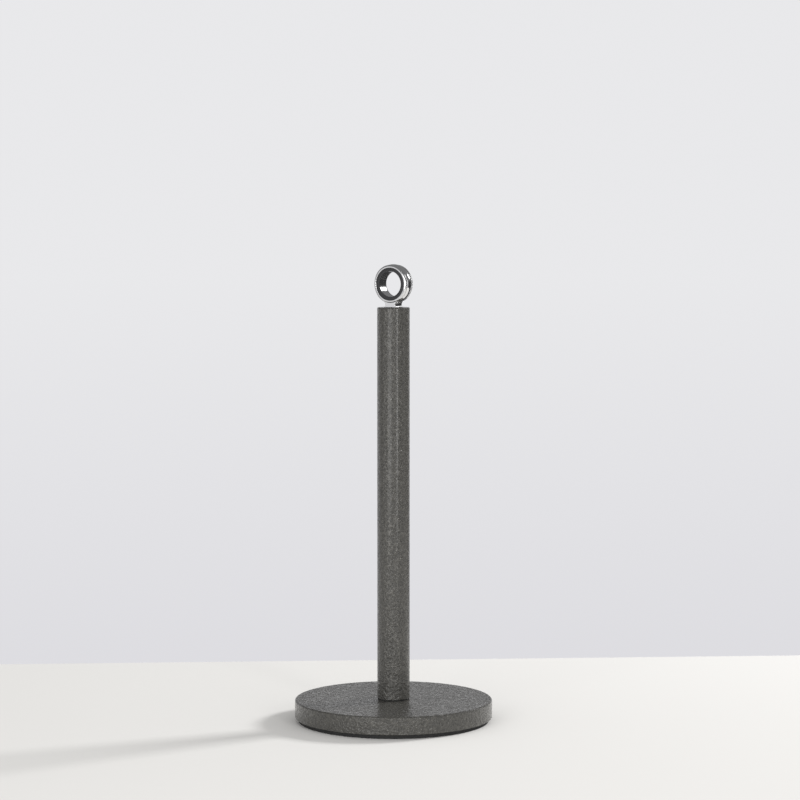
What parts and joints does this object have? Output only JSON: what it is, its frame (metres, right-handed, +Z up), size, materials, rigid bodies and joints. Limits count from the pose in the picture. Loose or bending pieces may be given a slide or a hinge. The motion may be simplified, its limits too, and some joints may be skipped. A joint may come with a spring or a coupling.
{
  "type": "paper towel holder",
  "caption": "Free-standing paper towel holder: weighted round base, straight round column and a ring finial that unscrews from the column's top.",
  "frame": {"origin": "centre of the base's resting face, on the column's axis", "axes": "+Z up along the column, Y along the ring finial's axis with its front face towards -Y, +X to the right seen from the front"},
  "size_m": [0.152, 0.152, 0.3515],
  "materials": {
    "textured_coat": "fine hammered charcoal powder coat, satin with a slight metallic glint",
    "ballast_iron": "rough cast, black dipped",
    "soft_pad": "matt black closed-cell rubber",
    "zinc_steel": "bright zinc plate",
    "polished_chrome": "mirror polished chrome plate",
    "dark_enamel": "satin charcoal enamel"
  },
  "bodies": {
    "stand": {"base_pad": "soft_pad", "base_shell": "textured_coat", "base_weight": "ballast_iron", "base_bolt": "zinc_steel", "base_spring_washer": "zinc_steel", "base_flat_washer": "zinc_steel", "column_seat_washer": "soft_pad", "column_tube": "textured_coat", "column_bottom_insert": "zinc_steel", "column_top_insert": "textured_coat"},
    "stud": {"finial_stud": "zinc_steel"},
    "finial": {"finial_ring": "polished_chrome", "finial_front_inlay": "dark_enamel", "finial_rear_inlay": "dark_enamel"}
  },
  "joints": [
    {"name": "finial_rise", "type": "slide", "parent": "stand", "child": "stud", "axis": [0, 0, 1], "range_m": [0, 0.013]},
    {"name": "finial_turn", "type": "hinge", "parent": "stud", "child": "finial", "pos_m": [0, 0, 0.3186], "axis": [0, 0, 1], "range_deg": [0, 4680]}
  ],
  "couplings": [
    {"joint": "finial_rise", "follows": "finial_turn", "m_per_rad": 0.00015915}
  ]
}
